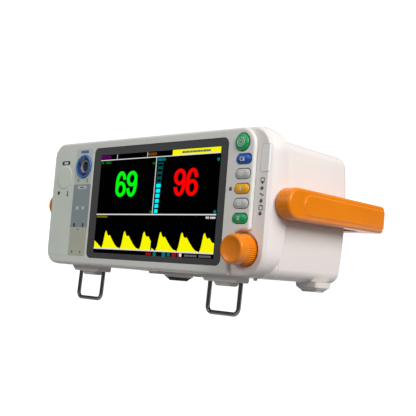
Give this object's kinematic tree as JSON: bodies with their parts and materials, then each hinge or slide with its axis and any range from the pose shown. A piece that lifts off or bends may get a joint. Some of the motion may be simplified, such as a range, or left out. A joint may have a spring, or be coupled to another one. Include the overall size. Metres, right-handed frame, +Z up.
{
  "type": "patient monitor",
  "caption": "Bedside patient monitor: white case, colour display, coloured keys, orange knob and swinging carry handle, wire stands folded out.",
  "frame": {"origin": "on the ground, under the middle of the whole object's box, with the monitor tilted back on its wire stands and rear feet", "axes": "+X to the right as seen from the front, +Y from the display to the back, +Z up"},
  "size_m": [0.3092, 0.1684, 0.1471],
  "materials": {
    "case_white": "fine spark-eroded moulded ABS, warm white",
    "plate_grey": "satin moulded light grey front plate",
    "label_pale": "printed polyester label, pale grey-green",
    "label_light": "printed polyester label, light grey",
    "label_grey": "printed polyester label, blue-grey",
    "label_olive": "printed polyester label, olive grey",
    "window_glass": "flat cover glass with a dark grey printed border",
    "screen_lit": "lit display picture on black",
    "black_plastic": "moulded black plastic",
    "black_rubber": "silicone key mat",
    "circuit_board": "green solder mask",
    "battery_wrap": "shrink-wrapped pack",
    "bright_steel": "zinc-plated steel",
    "wire_steel": "polished stainless wire",
    "stud_brass": "turned brass",
    "orange_plastic": "satin moulded orange plastic",
    "foot_rubber": "moulded grey rubber",
    "key_green": "green moulded key",
    "key_blue": "blue moulded key",
    "key_grey": "light grey moulded key",
    "key_amber": "amber moulded key",
    "lens_clear": "frosted clear light guide",
    "led_green": "unlit dark green lens",
    "led_red": "unlit red lens",
    "socket_blue": "blue moulded connector ring"
  },
  "bodies": {
    "case": {"front_plate": "plate_grey", "front_housing": "case_white", "rear_housing": "case_white", "display_window": "window_glass", "lcd_panel": "black_plastic", "lcd_frame": "bright_steel", "main_board": "circuit_board", "power_supply": "circuit_board", "battery_pack": "battery_wrap", "battery_door": "case_white", "spo2_module": "circuit_board", "speaker": "black_plastic", "keypad_membrane": "black_rubber", "keypad_board": "circuit_board", "port_label": "label_pale", "spo2_label": "label_light", "sensor_label": "label_grey", "auxiliary_label": "label_olive", "blank_port_cover": "label_pale", "spo2_socket_shell": "socket_blue", "spo2_socket_insert": "black_plastic", "alarm_lens": "lens_clear", "alarm_led_board": "circuit_board", "warning_led": "led_red", "status_led_1": "led_green", "status_led_2": "led_green", "status_led_3": "led_green", "encoder_body": "bright_steel", "front_pad_left": "foot_rubber", "front_pad_right": "foot_rubber", "rear_foot_outer": "foot_rubber", "rear_foot_inner": "foot_rubber", "mount_plate": "case_white", "mount_screw_left_1": "bright_steel", "mount_screw_left_2": "bright_steel", "mount_screw_right_1": "bright_steel", "mount_screw_right_2": "bright_steel", "rear_screw_1": "bright_steel", "rear_screw_2": "bright_steel", "rear_screw_3": "bright_steel", "rear_screw_4": "bright_steel", "mains_inlet": "black_plastic", "network_socket": "bright_steel", "usb_socket": "bright_steel", "earth_stud": "stud_brass"},
    "handle": {"carry_handle": "orange_plastic", "handle_pivot_left": "bright_steel", "handle_pivot_right": "bright_steel"},
    "stand_left": {"wire_stand_left": "wire_steel"},
    "stand_right": {"wire_stand_right": "wire_steel"},
    "encoder": {"encoder_shaft": "bright_steel"},
    "knob": {"encoder_knob": "orange_plastic"},
    "key_power_body": {"key_power": "key_green"},
    "key_blue_body": {"key_blue": "key_blue"},
    "key_grey_upper_body": {"key_grey_upper": "key_grey"},
    "key_amber_body": {"key_amber": "key_amber"},
    "key_grey_lower_body": {"key_grey_lower": "key_grey"},
    "key_green_body": {"key_green": "key_green"}
  },
  "joints": [
    {"name": "handle_swing", "type": "hinge", "parent": "case", "child": "handle", "pos_m": [0, -0.03858, 0.08521], "axis": [1, 0, 0], "range_deg": [0, 90]},
    {"name": "stand_left_fold", "type": "hinge", "parent": "case", "child": "stand_left", "pos_m": [-0.086, -0.05914, 0.02753], "axis": [1, 0, 0], "range_deg": [0, 92]},
    {"name": "stand_right_fold", "type": "hinge", "parent": "case", "child": "stand_right", "pos_m": [0.086, -0.05914, 0.02753], "axis": [1, 0, 0], "range_deg": [0, 92]},
    {"name": "encoder_press", "type": "slide", "parent": "case", "child": "encoder", "axis": [0, 0.9529, -0.3032], "range_m": [0, 0.0006], "stiffness_N_per_m": 5000, "springref_m": -0.0004},
    {"name": "knob_turn", "type": "hinge", "parent": "encoder", "child": "knob", "pos_m": [0.116, -0.07304, 0.0564], "axis": [0, 0.9529, -0.3032], "continuous": true},
    {"name": "key_power_press", "type": "slide", "parent": "case", "child": "key_power_body", "axis": [0, 0.9529, -0.3032], "range_m": [0, 0.001], "stiffness_N_per_m": 1500, "springref_m": -0.0005},
    {"name": "key_blue_press", "type": "slide", "parent": "case", "child": "key_blue_body", "axis": [0, 0.9529, -0.3032], "range_m": [0, 0.001], "stiffness_N_per_m": 1500, "springref_m": -0.0005},
    {"name": "key_grey_upper_press", "type": "slide", "parent": "case", "child": "key_grey_upper_body", "axis": [0, 0.9529, -0.3032], "range_m": [0, 0.001], "stiffness_N_per_m": 1500, "springref_m": -0.0005},
    {"name": "key_amber_press", "type": "slide", "parent": "case", "child": "key_amber_body", "axis": [0, 0.9529, -0.3032], "range_m": [0, 0.001], "stiffness_N_per_m": 1500, "springref_m": -0.0005},
    {"name": "key_grey_lower_press", "type": "slide", "parent": "case", "child": "key_grey_lower_body", "axis": [0, 0.9529, -0.3032], "range_m": [0, 0.001], "stiffness_N_per_m": 1500, "springref_m": -0.0005},
    {"name": "key_green_press", "type": "slide", "parent": "case", "child": "key_green_body", "axis": [0, 0.9529, -0.3032], "range_m": [0, 0.001], "stiffness_N_per_m": 1500, "springref_m": -0.0005}
  ]
}
